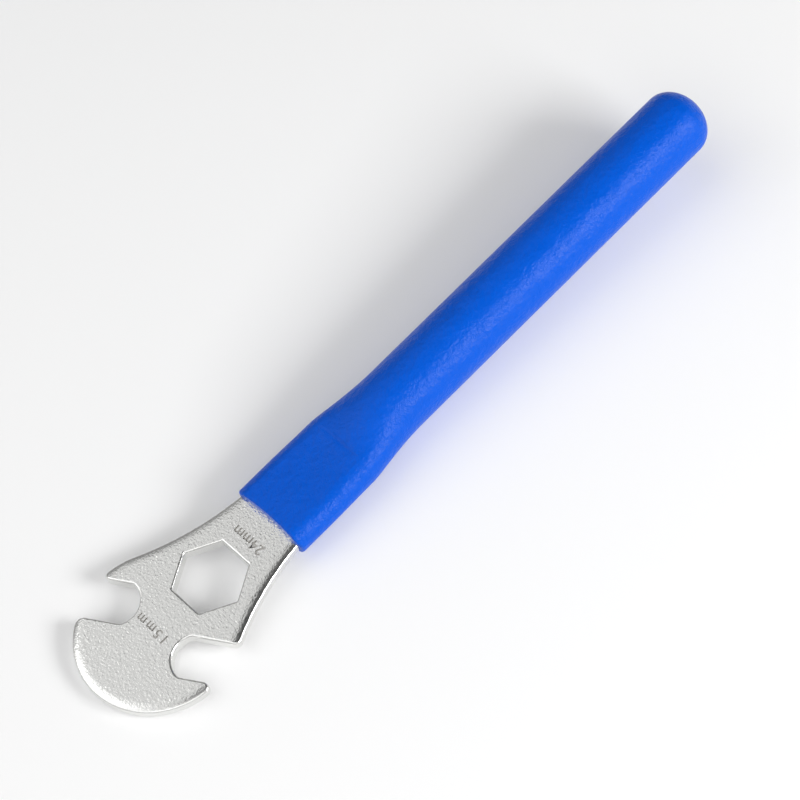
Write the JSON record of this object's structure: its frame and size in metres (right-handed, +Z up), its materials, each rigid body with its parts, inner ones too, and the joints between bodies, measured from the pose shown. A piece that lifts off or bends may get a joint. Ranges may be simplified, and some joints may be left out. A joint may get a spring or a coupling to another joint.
{
  "type": "pedal wrench",
  "caption": "Long flat wrench with a jaw on each side of a round plated head, a hexagon hole, and a tube handle in a soft sleeve.",
  "frame": {"origin": "on the surface that the wrench lies on, under the middle of its bounding box", "axes": "+X along the handle towards its domed end, +Y towards the front jaw's side, +Z up; the plate's face looks up and the wrench lies tipped 4.15 degrees forward, on the head's tip and the start of the round bar"},
  "size_m": [0.3044, 0.0606, 0.0366],
  "materials": {
    "plated_steel": "forged steel, blasted matt and nickel-chrome plated, with smooth bright edges",
    "tube_steel": "drawn steel tube, uncoated",
    "blue_vinyl": "dipped soft vinyl, satin with a fine leathery grain"
  },
  "bodies": {
    "root": {"wrench_head": "plated_steel", "handle_tube": "tube_steel", "grip_sleeve": "blue_vinyl"}
  },
  "joints": []
}
